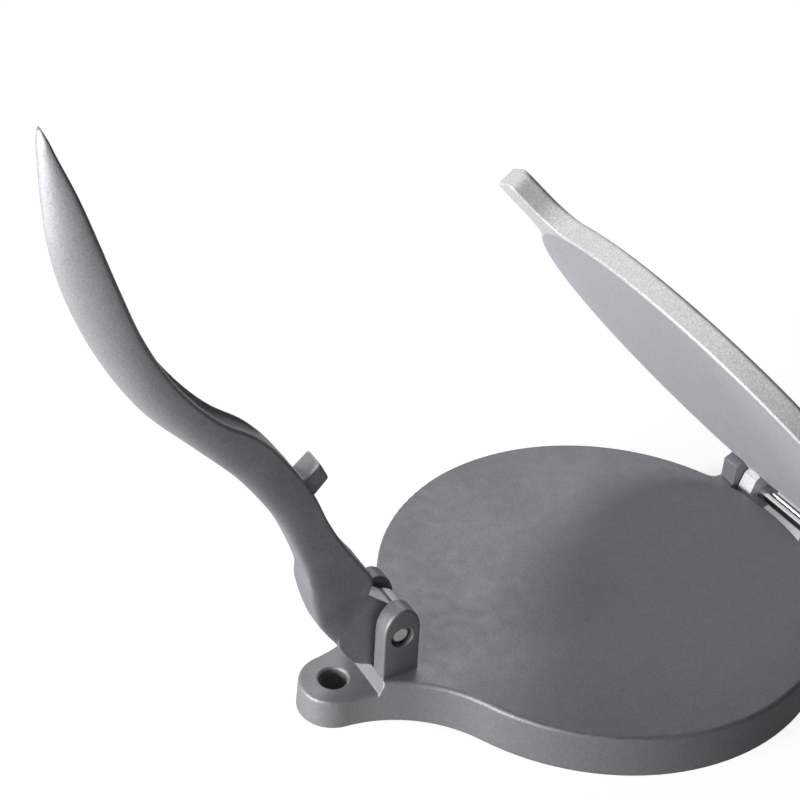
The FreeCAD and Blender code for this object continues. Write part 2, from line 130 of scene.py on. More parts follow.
# %% [markdown]
# Node helpers. Every material below is built from small nodes, and these helpers keep the
# cells short. One makes a node and sets its values, one joins two sockets, one does sums, one
# turns a range of values into another and one mixes two colours. Where a helper takes a value,
# it is either a socket to join or a plain number or colour.

# %% Node helpers
FLOAT = "NodeSocketFloat"
VECTOR = "NodeSocketVector"


def add_node(tree, kind, place=(0, 0), **values):
    node = tree.nodes.new(kind)
    node.location = place
    for name, value in values.items():
        if hasattr(node, name):
            setattr(node, name, value)
        else:
            node.inputs[name.replace("_", " ")].default_value = value
    return node


def join(tree, source, target):
    tree.links.new(source, target)


def feed(tree, value, target):
    """Joins a socket to the target, or sets the target to a plain number or colour."""
    if isinstance(value, bpy.types.NodeSocket):
        join(tree, value, target)
    else:
        target.default_value = value


def sum_up(tree, operation, first, second, place, **values):
    node = add_node(tree, "ShaderNodeMath", place, operation=operation, **values)
    feed(tree, first, node.inputs[0])
    feed(tree, second, node.inputs[1])
    return node.outputs[0]


def map_range(tree, value, place, reads, gives=(0.0, 1.0), **values):
    """Turns values in the range it reads into values in the range it gives."""
    node = add_node(tree, "ShaderNodeMapRange", place, **values)
    node.inputs["From Min"].default_value, node.inputs["From Max"].default_value = reads
    node.inputs["To Min"].default_value, node.inputs["To Max"].default_value = gives
    feed(tree, value, node.inputs["Value"])
    return node.outputs["Result"]


def mix_colours(tree, factor, first, second, place):
    node = add_node(tree, "ShaderNodeMix", place, data_type="RGBA")
    feed(tree, factor, node.inputs["Factor"])
    feed(tree, first, node.inputs["A"])
    feed(tree, second, node.inputs["B"])
    return node.outputs["Result"]


def new_group(name, inputs, outputs):
    """An empty shader group with named sockets: kind, name and starting value."""
    tree = bpy.data.node_groups.new(name, "ShaderNodeTree")
    for socket_name, kind, value in inputs:
        socket = tree.interface.new_socket(socket_name, in_out="INPUT", socket_type=kind)
        socket.default_value = value
    for socket_name, kind in outputs:
        tree.interface.new_socket(socket_name, in_out="OUTPUT", socket_type=kind)
    return tree, tree.nodes.new("NodeGroupInput"), tree.nodes.new("NodeGroupOutput")


def new_material(name, out_place):
    """A material with nothing in it but its output node."""
    material = bpy.data.materials.new(name)
    material.use_nodes = True
    tree = material.node_tree
    tree.nodes.clear()
    return material, tree, add_node(tree, "ShaderNodeOutputMaterial", out_place)


# %% [markdown]
# The grain of a sand casting. Molten aluminium takes the print of the sand it is poured into,
# so the skin is covered with fine grains, a few tenths of a millimetre across, over a slower
# unevenness of a few millimetres where the metal shrank. Two noises of those sizes give one
# height for the bump, and a third, broad one joins the slow unevenness as a tone for the
# colour. It is a group because all the castings share it.

# %% Cast grain group
def build_cast_grain():
    tree, entry, leave = new_group(
        "cast grain",
        [
            ("Grain Size", FLOAT, 0.0007),
            ("Grain Depth", FLOAT, 1.0),
            ("Swell Depth", FLOAT, 0.8),
        ],
        [("Height", FLOAT), ("Tone", FLOAT), ("Speckle", FLOAT)],
    )
    place = add_node(tree, "ShaderNodeTexCoord", (-1000, 0))
    count = sum_up(tree, "DIVIDE", 1.0, entry.outputs["Grain Size"], (-800, 200))
    fine = add_node(tree, "ShaderNodeTexNoise", (-600, 200), Detail=3.0, Roughness=0.6)
    swell = add_node(
        tree, "ShaderNodeTexNoise", (-600, -100), Scale=160.0, Detail=4.0, Roughness=0.5
    )
    broad = add_node(
        tree, "ShaderNodeTexNoise", (-600, -400), Scale=22.0, Detail=3.0, Roughness=0.5
    )
    for noise in (fine, swell, broad):
        join(tree, place.outputs["Object"], noise.inputs["Vector"])
    join(tree, count, fine.inputs["Scale"])
    fine_part = sum_up(
        tree, "MULTIPLY", fine.outputs["Fac"], entry.outputs["Grain Depth"], (-350, 200)
    )
    swell_part = sum_up(
        tree, "MULTIPLY", swell.outputs["Fac"], entry.outputs["Swell Depth"], (-350, -100)
    )
    height = sum_up(tree, "ADD", fine_part, swell_part, (-150, 100))
    both = sum_up(tree, "ADD", broad.outputs["Fac"], swell.outputs["Fac"], (-150, -200))
    tone = sum_up(tree, "MULTIPLY", both, 0.5, (50, -200))
    join(tree, height, leave.inputs["Height"])
    join(tree, tone, leave.inputs["Tone"])
    join(tree, fine.outputs["Fac"], leave.inputs["Speckle"])
    return tree


cast_grain = build_cast_grain()
print("group:", cast_grain.name)

# %% [markdown]
# Worn edges with a painted highlight, and painted shade in the corners. Hands and cloths
# polish the corners of a casting first, and the paler edge colour also paints the highlight
# that a rounded edge catches, while hollow corners are darkened where occlusion finds them,
# which is painted shade. The Bevel node rounds the shading of every sharp edge, and where its
# rounded direction differs from the true one there is an edge. The occlusion tells hollow
# corners from proud ones. The group gives the softened normal, a mask of proud edges and a
# mask of painted shade in the corners.

# %% Edge wear, painted highlight and painted shade group
PROUD_AIR = (0.6, 0.92)
PAINTED_SHADE_AIR = (0.1, 0.4)


def build_edge_wear_and_painted_light():
    tree, entry, leave = new_group(
        "edge wear, painted highlight and painted shade",
        [("Width", FLOAT, 0.0009), ("Gain", FLOAT, 3.0), ("Reach", FLOAT, 0.004)],
        [("Edge", FLOAT), ("Painted Corner Shade", FLOAT), ("Soft Normal", VECTOR)],
    )
    rounded = add_node(tree, "ShaderNodeBevel", (-600, 100), samples=6)
    join(tree, entry.outputs["Width"], rounded.inputs["Radius"])
    true_normal = add_node(tree, "ShaderNodeNewGeometry", (-600, -200))
    facing = add_node(tree, "ShaderNodeVectorMath", (-350, 0), operation="DOT_PRODUCT")
    join(tree, rounded.outputs["Normal"], facing.inputs[0])
    join(tree, true_normal.outputs["Normal"], facing.inputs[1])
    apart = sum_up(tree, "SUBTRACT", 1.0, facing.outputs["Value"], (-150, 0))
    gained = sum_up(tree, "MULTIPLY", apart, entry.outputs["Gain"], (50, 0), use_clamp=True)
    open_air = add_node(tree, "ShaderNodeAmbientOcclusion", (-600, -400), samples=6)
    join(tree, entry.outputs["Reach"], open_air.inputs["Distance"])
    proud = map_range(tree, open_air.outputs["AO"], (-350, -300), PROUD_AIR)
    edge = sum_up(tree, "MULTIPLY", gained, proud, (250, 0))
    # Painted shade: the more closed in a spot is, the stronger this mask.
    painted_corner_shade = map_range(tree, open_air.outputs["AO"], (-350, -600), PAINTED_SHADE_AIR, (1.0, 0.0))
    join(tree, edge, leave.inputs["Edge"])
    join(tree, painted_corner_shade, leave.inputs["Painted Corner Shade"])
    join(tree, rounded.outputs["Normal"], leave.inputs["Soft Normal"])
    return tree


edge_wear_and_painted_light = build_edge_wear_and_painted_light()
print("group:", edge_wear_and_painted_light.name)

# %% [markdown]
# Cast aluminium. The bare skin is a dull mid grey, half metal and half a thin chalky oxide, so
# it is mixed from a partly metallic shader rather than a mirror. Tone, roughness and bump all
# come from the grain, which keeps them in step: where the skin is a little higher it is also a
# little lighter and smoother.
#
# A zone makes the far parts paler, from the distance from an axis where it starts: on the
# lid's rim and the lever's grip this is painted light for the light and reflections they
# catch, and on the lower plate it makes the tongue and the ears paler. Edges are mixed
# towards a paler colour, which is wear with a painted highlight, and hollow corners are
# darkened, which is painted shade.

# %% Cast aluminium material
PAINTED_SHADE_TONE = 0.55
TONE_SPAN = (0.35, 0.65)
SPECKLE_SPAN = (0.35, 0.7)
POLISH_SPAN = (0.3, 0.7)


def far_from_axis(tree, centre, axis, near, far):
    """A mask that goes from 0 at the near distance from the axis to 1 at the far one."""
    place = add_node(tree, "ShaderNodeTexCoord", (-1200, 700))
    from_centre = add_node(tree, "ShaderNodeVectorMath", (-1000, 700), operation="SUBTRACT")
    from_centre.inputs[1].default_value = centre
    join(tree, place.outputs["Object"], from_centre.inputs[0])
    off_axis = add_node(tree, "ShaderNodeVectorMath", (-800, 700), operation="CROSS_PRODUCT")
    off_axis.inputs[1].default_value = axis
    join(tree, from_centre.outputs["Vector"], off_axis.inputs[0])
    distance = add_node(tree, "ShaderNodeVectorMath", (-600, 700), operation="LENGTH")
    join(tree, off_axis.outputs["Vector"], distance.inputs[0])
    return map_range(
        tree,
        distance.outputs["Value"],
        (-400, 700),
        (near, far),
        interpolation_type="SMOOTHSTEP",
    )


def cast_aluminium(
    name, dark, light, edge, grain_bump, metal, rough, zone=None, speckle=0.14, edge_wear_and_shine=()
):
    material, tree, out = new_material(name, (900, 0))
    skin = add_node(tree, "ShaderNodeBsdfPrincipled", (600, 0), Metallic=metal)
    skin.inputs["Specular IOR Level"].default_value = 0.5
    join(tree, skin.outputs["BSDF"], out.inputs["Surface"])
    grain = add_node(tree, "ShaderNodeGroup", (-600, 0), node_tree=cast_grain)
    worn_and_shaded_edges = add_node(tree, "ShaderNodeGroup", (-600, -400), node_tree=edge_wear_and_painted_light)
    for socket_name, value in edge_wear_and_shine:
        worn_and_shaded_edges.inputs[socket_name].default_value = value
    shade = map_range(tree, grain.outputs["Tone"], (-300, 100), TONE_SPAN)
    body = mix_colours(tree, shade, (*dark, 1.0), (*light, 1.0), (-50, 200))
    if zone:
        outside = far_from_axis(tree, zone["centre"], zone["axis"], zone["near"], zone["far"])
        body = mix_colours(tree, outside, body, (*zone["colour"], 1.0), (50, 500))
    speckle_range = (1.0 - speckle, 1.0 + speckle)
    speck = map_range(tree, grain.outputs["Speckle"], (-300, 400), SPECKLE_SPAN, speckle_range)
    speckled = add_node(tree, "ShaderNodeVectorMath", (150, 300), operation="SCALE")
    join(tree, body, speckled.inputs["Vector"])
    join(tree, speck, speckled.inputs["Scale"])
    # Edge wear, also a painted highlight: the edges are mixed towards a paler colour.
    edge_worn_and_highlighted = mix_colours(
        tree, worn_and_shaded_edges.outputs["Edge"], speckled.outputs["Vector"], (*edge, 1.0), (350, 200)
    )
    # Painted shade: the colour is darkened in the corners that occlusion finds.
    painted_shade_colour = (*[c * PAINTED_SHADE_TONE for c in dark], 1.0)
    corner_shaded = mix_colours(tree, worn_and_shaded_edges.outputs["Painted Corner Shade"], edge_worn_and_highlighted, painted_shade_colour, (350, 500))
    join(tree, corner_shaded, skin.inputs["Base Color"])
    polish_range = (rough + 0.08, rough - 0.06)
    polish = map_range(tree, grain.outputs["Tone"], (150, -100), POLISH_SPAN, polish_range)
    join(tree, polish, skin.inputs["Roughness"])
    bump = add_node(tree, "ShaderNodeBump", (350, -300), Strength=1.0, Distance=grain_bump)
    join(tree, grain.outputs["Height"], bump.inputs["Height"])
    join(tree, worn_and_shaded_edges.outputs["Soft Normal"], bump.inputs["Normal"])
    join(tree, bump.outputs["Normal"], skin.inputs["Normal"])
    print("material:", material.name)
    return material


base_skin = cast_aluminium(
    "cast_aluminium_base",
    dark=(0.232, 0.229, 0.245),
    light=(0.242, 0.239, 0.255),
    edge=(0.5, 0.5, 0.52),
    grain_bump=0.00012,
    metal=0.5,
    rough=0.5,
    # The tongue and the ears, from 112 mm out from the plate's middle, are made paler.
    zone={
        "centre": plate_centre,
        "axis": UPRIGHT,
        "near": 0.112,
        "far": 0.126,
        "colour": (0.30, 0.295, 0.305),
    },
)
# The lid is much paler than the lower plate: a smoother pressing face, and painted light for the
# bright reflection that its face shows.
lid_skin = cast_aluminium(
    "cast_aluminium_lid",
    dark=(0.53, 0.52, 0.565),
    light=(0.56, 0.55, 0.595),
    edge=(0.60, 0.60, 0.61),
    grain_bump=0.00008,
    metal=0.4,
    rough=0.62,
    # Painted light: the lid's rim band, from 96 mm out from its middle, is made much paler for
    # the light it catches.
    zone={
        "centre": lid_centre,
        "axis": lid_axis,
        "near": 0.0962,
        "far": 0.0972,
        "colour": (0.74, 0.74, 0.745),
    },
    speckle=0.2,
    edge_wear_and_shine=(("Width", 0.0003), ("Gain", 0.4)),
)
lever_skin = cast_aluminium(
    "cast_aluminium_lever",
    dark=(0.26, 0.26, 0.28),
    light=(0.30, 0.30, 0.32),
    edge=(0.5, 0.5, 0.52),
    grain_bump=0.00008,
    metal=0.5,
    rough=0.48,
    # Painted reflection: the grip, from 10 cm out from the pivot, is made paler for the bright
    # surroundings it mirrors.
    zone={
        "centre": PIVOT,
        "axis": SIDEWAYS,
        "near": 0.10,
        "far": 0.17,
        "colour": (0.39, 0.39, 0.405),
    },
)


def bare_and_painted_light_finish(name, tone):
    """The same metal, paler and a little smoother: painted light, and bare metal on the crown.
    """
    return cast_aluminium(
        name,
        dark=(tone, tone, tone + 0.02),
        light=(tone + 0.08, tone + 0.08, tone + 0.1),
        edge=(0.9, 0.9, 0.9),
        grain_bump=0.00005,
        metal=0.5,
        rough=0.4,
    )


# Painted light on the stub's face, and bare metal with a painted highlight on the crown and the
# stub's corner.
stub_painted_light_skin = bare_and_painted_light_finish("stub_painted_light", 0.52)
crown_bare_and_highlight_skin = bare_and_painted_light_finish("crown_bare_and_painted_highlight", 0.86)

# %% [markdown]
# Drawn steel. The rod and the pin are cold-drawn bar, with hair-fine lines along their length
# from the die. Noise stretched along the bar's axis, here Y, gives those lines, and they only
# change the tint, the roughness and a very shallow bump. The pin's ends are hammered over, so
# it is paler and duller than the rod.

# %% Drawn steel material
LINE_STRETCH = (1.0, 0.03, 1.0)


def drawn_steel(name, colour, rough):
    material, tree, out = new_material(name, (700, 0))
    skin = add_node(tree, "ShaderNodeBsdfPrincipled", (400, 0), Metallic=1.0)
    join(tree, skin.outputs["BSDF"], out.inputs["Surface"])
    place = add_node(tree, "ShaderNodeTexCoord", (-800, 0))
    stretch = add_node(tree, "ShaderNodeMapping", (-600, 0), Scale=LINE_STRETCH)
    join(tree, place.outputs["Object"], stretch.inputs["Vector"])
    lines = add_node(tree, "ShaderNodeTexNoise", (-400, 0), Scale=2500.0, Detail=2.0)
    join(tree, stretch.outputs["Vector"], lines.inputs["Vector"])
    dull = (*[c * 0.85 for c in colour], 1.0)
    tint = mix_colours(tree, lines.outputs["Fac"], dull, (*colour, 1.0), (100, 200))
    join(tree, tint, skin.inputs["Base Color"])
    polish_range = (rough - 0.05, rough + 0.08)
    polish = map_range(tree, lines.outputs["Fac"], (100, -50), (0.0, 1.0), polish_range)
    join(tree, polish, skin.inputs["Roughness"])
    bump = add_node(tree, "ShaderNodeBump", (100, -300), Strength=0.02, Distance=0.00002)
    join(tree, lines.outputs["Fac"], bump.inputs["Height"])
    join(tree, bump.outputs["Normal"], skin.inputs["Normal"])
    print("material:", material.name)
    return material


bright_steel = drawn_steel("drawn_steel", (0.75, 0.74, 0.76), 0.14)
peened_steel = drawn_steel("peened_steel", (0.9, 0.89, 0.87), 0.5)

# %% [markdown]
# The lever. On the real press it is one casting: a grip hollowed like a spoon, a curved arm, a
# stub that presses on the upper plate, and a knuckle that narrows to a flat foot between the
# ears. A shape that changes all along its length is best made as a loft: the section is drawn
# at a few stations, the stations are joined by smooth curves, and a skin is laid over them.
# Every station holds, as shares of the lever's length, its inner edge (forward and up from the
# pivot), its back edge, its half width and the depth of the hollow, then how much of the flat
# inner side the hollow takes, and last how square the back is: 1.6 is nearly a wedge, 2 an
# ellipse and 9 nearly a box.

# %% Lever stations
LEVER_LENGTH = 0.268
ARM_STATIONS = [
    (0.4640, 0.8790, 0.4672, 0.8765, 0.0040, 0.0000, 0.30, 2.0),
    (0.4600, 0.8700, 0.4695, 0.8630, 0.0105, 0.0000, 0.30, 1.8),
    (0.4520, 0.8480, 0.4705, 0.8400, 0.0165, 0.0030, 0.50, 1.7),
    (0.4345, 0.8020, 0.4705, 0.7900, 0.0245, 0.0200, 0.80, 1.6),
    (0.4155, 0.7420, 0.4670, 0.7300, 0.0310, 0.0330, 0.86, 1.6),
    (0.3950, 0.6750, 0.4530, 0.6620, 0.0336, 0.0350, 0.86, 1.6),
    (0.3705, 0.6035, 0.4240, 0.5820, 0.0340, 0.0300, 0.88, 1.8),
    (0.3265, 0.5190, 0.3710, 0.4860, 0.0330, 0.0200, 0.90, 2.3),
    (0.2680, 0.4485, 0.3050, 0.4110, 0.0290, 0.0100, 0.88, 2.8),
    (0.2180, 0.4090, 0.2650, 0.3670, 0.0262, 0.0045, 0.76, 3.3),
    (0.1990, 0.3885, 0.2472, 0.3462, 0.0252, 0.0000, 0.40, 3.2),
    (0.1700, 0.3480, 0.2240, 0.3150, 0.0245, 0.0000, 0.40, 3.6),
    (0.1330, 0.2855, 0.1860, 0.2530, 0.0245, 0.0000, 0.40, 4.4),
    (0.1090, 0.2284, 0.1627, 0.2000, 0.0250, 0.0000, 0.40, 6.0),
    (0.0770, 0.1690, 0.1440, 0.1440, 0.0262, 0.0000, 0.40, 8.0),
    (0.0640, 0.1490, 0.1432, 0.1290, 0.0295, 0.0000, 0.40, 9.0),
    (0.0560, 0.1370, 0.1415, 0.1180, 0.0338, 0.0000, 0.40, 9.0),
    (0.0440, 0.1190, 0.1385, 0.1000, 0.0345, 0.0000, 0.40, 9.0),
    (0.0385, 0.1040, 0.1310, 0.0700, 0.0322, 0.0000, 0.40, 9.0),
    (0.0370, 0.0900, 0.1200, 0.0370, 0.0262, 0.0000, 0.40, 8.0),
    (0.0385, 0.0800, 0.1080, 0.0160, 0.0236, 0.0000, 0.40, 8.0),
    (0.0440, 0.0600, 0.0935, -0.0060, 0.0218, 0.0000, 0.40, 8.0),
    (0.0460, 0.0400, 0.0785, -0.0280, 0.0205, 0.0000, 0.40, 8.0),
]
STEPS_BETWEEN = 8
SMALLEST_SPAN = 1e-6


def smooth_path(points, steps):
    """Points on a smooth curve through the given ones, whatever numbers they hold."""
    points = [tuple(p) for p in points]
    spans = [max(math.dist(a[:2], b[:2]), SMALLEST_SPAN) for a, b in zip(points, points[1:])]

    def slope(i, k):
        before = (points[i][k] - points[i - 1][k]) / spans[i - 1] if i > 0 else None
        after = (points[i + 1][k] - points[i][k]) / spans[i] if i < len(spans) else None
        if before is None or after is None:
            return after if before is None else before
        return (before * spans[i] + after * spans[i - 1]) / (spans[i] + spans[i - 1])

    found = []
    for i, span in enumerate(spans):
        for step in range(steps):
            t = step / steps
            row = []
            for k in range(len(points[i])):
                a, b = points[i][k], points[i + 1][k]
                rise_a, rise_b = slope(i, k) * span, slope(i + 1, k) * span
                row.append(
                    a * (2 * t**3 - 3 * t**2 + 1)
                    + rise_a * (t**3 - 2 * t**2 + t)
                    + b * (3 * t**2 - 2 * t**3)
                    + rise_b * (t**3 - t**2)
                )
            found.append(tuple(row))
    return found + [points[-1]]


def lever_point(forward, up):
    return PIVOT + Vector((-forward, 0.0, up)) * LEVER_LENGTH


arm_path = smooth_path(ARM_STATIONS, STEPS_BETWEEN)
print("lever sections:", len(arm_path))

# %% [markdown]
# One section. Going round it: the inner side with the bowl of the hollow in its middle, a
# small round corner, then the back, which is wedge-like on the grip and square on the arm.

# %% Lever section
CORNER_SHARE = 0.16
BOWL_FULLNESS = 2 / 2.4
BOWL_STEPS = 14
CORNER_STEPS = 4
BACK_STEPS = 26
WIDEST_MOUTH = 0.92


def rounded_power(value, power):
    return math.copysign(abs(value) ** power, value)


def arm_section(station):
    in_x, in_z, out_x, out_z, half_share, hollow_share, taken, squareness = station
    inner, back = lever_point(in_x, in_z), lever_point(out_x, out_z)
    inward = (inner - back).normalized()
    thick = (inner - back).length
    half = half_share * LEVER_LENGTH
    corner = min(half, thick) * CORNER_SHARE
    flat = half - corner
    mouth = flat * min(taken, WIDEST_MOUTH)
    hollow = max(hollow_share, 0.0) * LEVER_LENGTH
    outline = [(-flat, 0.0)]
    for step in range(BOWL_STEPS + 1):
        turn = math.pi * step / BOWL_STEPS
        across = -mouth * rounded_power(math.cos(turn), BOWL_FULLNESS)
        outline.append((across, -hollow * rounded_power(math.sin(turn), BOWL_FULLNESS)))
    for step in range(CORNER_STEPS):
        turn = math.pi / 2 * step / CORNER_STEPS
        outline.append((flat + corner * math.sin(turn), corner * (math.cos(turn) - 1)))
    for step in range(BACK_STEPS + 1):
        turn = math.pi * step / BACK_STEPS
        across = half * rounded_power(math.cos(turn), 2 / squareness)
        down = (thick - corner) * rounded_power(math.sin(turn), 2 / squareness)
        outline.append((across, -corner - down))
    for step in range(CORNER_STEPS - 1, 0, -1):
        turn = math.pi / 2 * step / CORNER_STEPS
        outline.append((-flat - corner * math.sin(turn), corner * (math.cos(turn) - 1)))
    return [inner + inward * along + Vector((0.0, across, 0.0)) for across, along in outline]


# %% [markdown]
# From sections to a closed skin. Each section becomes a ring of points, neighbouring rings are
# bridged by faces, and the two open ends are filled.

# %% Lever arm
def new_object(name, shape):
    """Turns finished bmesh geometry into an object with outward faces."""
    bmesh.ops.recalc_face_normals(shape, faces=shape.faces)
    mesh = bpy.data.meshes.new(name)
    shape.to_mesh(mesh)
    shape.free()
    made = bpy.data.objects.new(name, mesh)
    bpy.context.collection.objects.link(made)
    return made


def make_arm():
    shape = bmesh.new()
    rings = []
    for station in arm_path:
        rings.append([shape.verts.new(point) for point in arm_section(station)])
    for ring in rings:
        for a, b in zip(ring, ring[1:] + ring[:1]):
            shape.edges.new((a, b))
    for ring, following in zip(rings, rings[1:]):
        count = len(ring)
        for i in range(count):
            j = (i + 1) % count
            shape.faces.new((ring[i], ring[j], following[j], following[i]))
    bmesh.ops.holes_fill(shape, edges=shape.edges)
    print("arm:", len(shape.verts), "points,", len(shape.faces), "faces")
    return new_object("lever", shape)


lever = make_arm()

# %% [markdown]
# The foot between the ears. It is cut from flat stock in the pattern, so it is an outline
# pushed out sideways: the heel that rolls on the lower plate, a sloping crown, and the round
# barrel about the pin. Its long edges are broken a little, as on every casting.

# %% Lever foot
FOOT_HALF = 0.0058
FOOT_EDGE = 0.0006
BARREL_REACH = 0.0084
BARREL_CROWN = 0.0097
FOOT_CORNER_DROP = 0.0166
FOOT_SOLE_DROP = 0.0194
PIN_BORE = 0.00383
BORE_SEGMENTS = 48
HEEL_CURVE = [
    (0.0330, -0.0720),
    (0.0613, -0.0560),
    (0.0775, -0.0336),
    (0.0870, -0.0150),
    (0.0890, 0.0050),
    (0.0820, 0.0350),
]
FOOT_ROOT = [(0.0700, 0.1000), (0.0424, 0.0730)]


def make_foot():
    outline = [lever_point(x, z) for x, z in smooth_path(HEEL_CURVE, STEPS_BETWEEN) + FOOT_ROOT]
    for step in range(STEPS_BETWEEN + 1):
        turn = math.pi / 2 * (1 - step / STEPS_BETWEEN)
        reach = Vector((BARREL_REACH * math.cos(turn), 0.0, BARREL_CROWN * math.sin(turn)))
        outline.append(PIVOT + reach)
    outline.append(PIVOT + Vector((BARREL_REACH, 0.0, -FOOT_CORNER_DROP)))
    outline.append(PIVOT - Vector((0.0, 0.0, FOOT_SOLE_DROP)))
    shape = bmesh.new()
    side = Vector((0.0, FOOT_HALF, 0.0))
    face = shape.faces.new([shape.verts.new(point - side) for point in outline])
    pushed = bmesh.ops.extrude_face_region(shape, geom=[face])
    moved = [v for v in pushed["geom"] if isinstance(v, bmesh.types.BMVert)]
    bmesh.ops.translate(shape, verts=moved, vec=side * 2)
    long_edges = [e for e in shape.edges if abs(e.verts[0].co.y - e.verts[1].co.y) < FOOT_EDGE]
    bmesh.ops.bevel(
        shape, geom=long_edges, offset=FOOT_EDGE, segments=2, affect="EDGES", profile=0.5
    )
    return new_object("lever_foot", shape)


def make_bore():
    shape = bmesh.new()
    bmesh.ops.create_cone(
        shape,
        cap_ends=True,
        segments=BORE_SEGMENTS,
        radius1=PIN_BORE,
        radius2=PIN_BORE,
        depth=FOOT_HALF * 4,
    )
    bmesh.ops.rotate(shape, verts=shape.verts, matrix=Matrix.Rotation(math.pi / 2, 3, "X"))
    bmesh.ops.translate(shape, verts=shape.verts, vec=PIVOT)
    return new_object("lever_bore", shape)


foot = make_foot()
bore = make_bore()
print("foot:", len(foot.data.vertices), "points")

# %% [markdown]
# The stub that meets the upper plate. It is a short square post, rooted in the arm, and its end
# is cut at a slant.

# %% Lever stub
STUB_SIZE = Vector((0.017, 0.0105, 0.0100))
STUB_SLANT = 0.0022
STUB_TAPER = 0.0014
STUB_EDGE = 0.0012
STUB_ROOT = 0.006
STUB_TURN = math.radians(-41.0)
STUB_PLACE = (0.1430, 0.2950)


def make_stub():
    shape = bmesh.new()
    bmesh.ops.create_cube(shape, size=1.0)
    bmesh.ops.scale(shape, verts=shape.verts, vec=STUB_SIZE)
    out = Vector((STUB_SIZE.x / 2 - STUB_ROOT, 0.0, 0.0))
    bmesh.ops.translate(shape, verts=shape.verts, vec=out)
    for vert in shape.verts:
        if vert.co.x > 0.0 and vert.co.z < 0.0:
            vert.co.x -= STUB_SLANT
            vert.co.z += STUB_TAPER
    bmesh.ops.bevel(
        shape, geom=shape.edges[:], offset=STUB_EDGE, segments=3, affect="EDGES", profile=0.5
    )
    bmesh.ops.rotate(shape, verts=shape.verts, matrix=Matrix.Rotation(STUB_TURN, 3, "Y"))
    bmesh.ops.translate(shape, verts=shape.verts, vec=lever_point(*STUB_PLACE))
    return new_object("lever_stub", shape)


stub = make_stub()
print("stub:", len(stub.data.vertices), "points")

# %% [markdown]
# One casting out of three shapes. A boolean union melts them into a single closed skin, and a
# boolean difference drills the hole for the pin. The crown of its foot gets a much brighter
# finish, bare metal where the lever rubs together with a painted highlight. The face of the
# stub gets a paler finish that is painted light, standing in for the lamp light on it, and the
# stub's near corner gets the crown's finish as a painted highlight. Where the lever rubs, on the
# crown of its
# foot and on the stub, the skin is worn to bare metal, so those faces get a brighter finish.
# Then the piece takes the place of the plain CAD lever and moves with its body.

# %% Join the lever
SHARP_ANGLE = math.radians(32)
CROWN_FACING = Vector((0.63, 0.0, 0.78))
CROWN_LIKENESS = 0.9
CROWN_REACH = 0.025
STUB_FACING = Vector((-0.7, 0.0, 0.71))
STUB_LIKENESS = 0.3
STUB_REACH = 0.012
STUB_CORNER = -0.25
stub_middle = lever_point(*STUB_PLACE) + Vector((0.7, 0.0, 0.71)) * 0.006


def melt(main, other, operation):
    """Applies one boolean to the mesh itself and removes the helper object."""
    step = main.modifiers.new("melt", "BOOLEAN")
    step.operation = operation
    step.object = other
    step.solver = "EXACT"
    bpy.context.view_layer.update()
    ready = main.evaluated_get(bpy.context.evaluated_depsgraph_get())
    mesh = bpy.data.meshes.new_from_object(ready)
    main.modifiers.clear()
    main.data = mesh
    bpy.data.objects.remove(other)


def finish_index(face):
    """0 for the plain skin, 1 for the stub's painted light, 2 for the bare crown with painted
    highlight and the stub corner's painted highlight.
    """
    to_crown = (face.center - PIVOT).length
    to_stub = (face.center - stub_middle).length
    if face.normal.dot(CROWN_FACING) > CROWN_LIKENESS and to_crown < CROWN_REACH:
        return 2
    if face.normal.dot(STUB_FACING) > STUB_LIKENESS and to_stub < STUB_REACH:
        return 2 if face.normal.y < STUB_CORNER else 1
    return 0


melt(lever, foot, "UNION")
melt(lever, stub, "UNION")
melt(lever, bore, "DIFFERENCE")
lever.data.name = "lever"
lever.data.shade_smooth()
lever.data.set_sharp_from_angle(angle=SHARP_ANGLE)
even_normals = lever.modifiers.new("even_normals", "WEIGHTED_NORMAL")
even_normals.keep_sharp = True
lever.data.materials.clear()
for skin in (lever_skin, stub_painted_light_skin, crown_bare_and_highlight_skin):
    lever.data.materials.append(skin)
for face in lever.data.polygons:
    face.material_index = finish_index(face)
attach(lever, "lever")
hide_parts("lever")
print("lever:", len(lever.data.vertices), "points,", len(lever.data.polygons), "faces")
print("faces with the paler finish:", sum(face.material_index > 0 for face in lever.data.polygons))

# %% [markdown]
# Dress the pieces. A CAD piece keeps its shape, so only its material slots are filled.

# %% Put the materials on
finishes = {
    "base": base_skin,
    "upper_plate": lid_skin,
    "hinge_rod": bright_steel,
    "lever_pin": peened_steel,
}
for node_name, material in finishes.items():
    for material_slot in press[node_name].material_slots:
        material_slot.material = material
    print(node_name, "wears", material.name)

# %% [markdown]
# The floor. A big pale disc under the press takes its soft shadow. Seen by the camera it also
# glows a little, so that it reads as the white paper of a product photograph, and the lamps
# don't have to be turned up for it. Where the floor is closed in, as under the hinge, its glow
# is taken away, which is painted shade. A soft patch under the hinge is a painted shadow,
# dimmer still, so that narrow gaps stay dark.
# Mirrored in the metal, the floor and the white surroundings are bright on one side only, as
# in a studio with one big white wall.

# %% Floor
FLOOR_RADIUS = 4.0
FLOOR_SEGMENTS = 96
FLOOR_COLOUR = (0.3, 0.3, 0.3, 1.0)
FLOOR_GLOW = 0.88
FLOOR_SIDE_SPAN = (-0.3, 0.4)
FLOOR_MIRRORED = (0.05, FLOOR_GLOW)
CLOSED_REACH = 0.03
CLOSED_AIR = (0.2, 0.5)
# Painted shadow: a soft dim patch on the floor under the hinge.
PAINTED_SHADOW_CENTRE = (0.247, 0.020, 0.0)
PAINTED_SHADOW_REACH = 0.05
PAINTED_SHADOW_GLOW = 0.25
BRIGHT_SIDE = (-0.6, 0.8, 0.0)


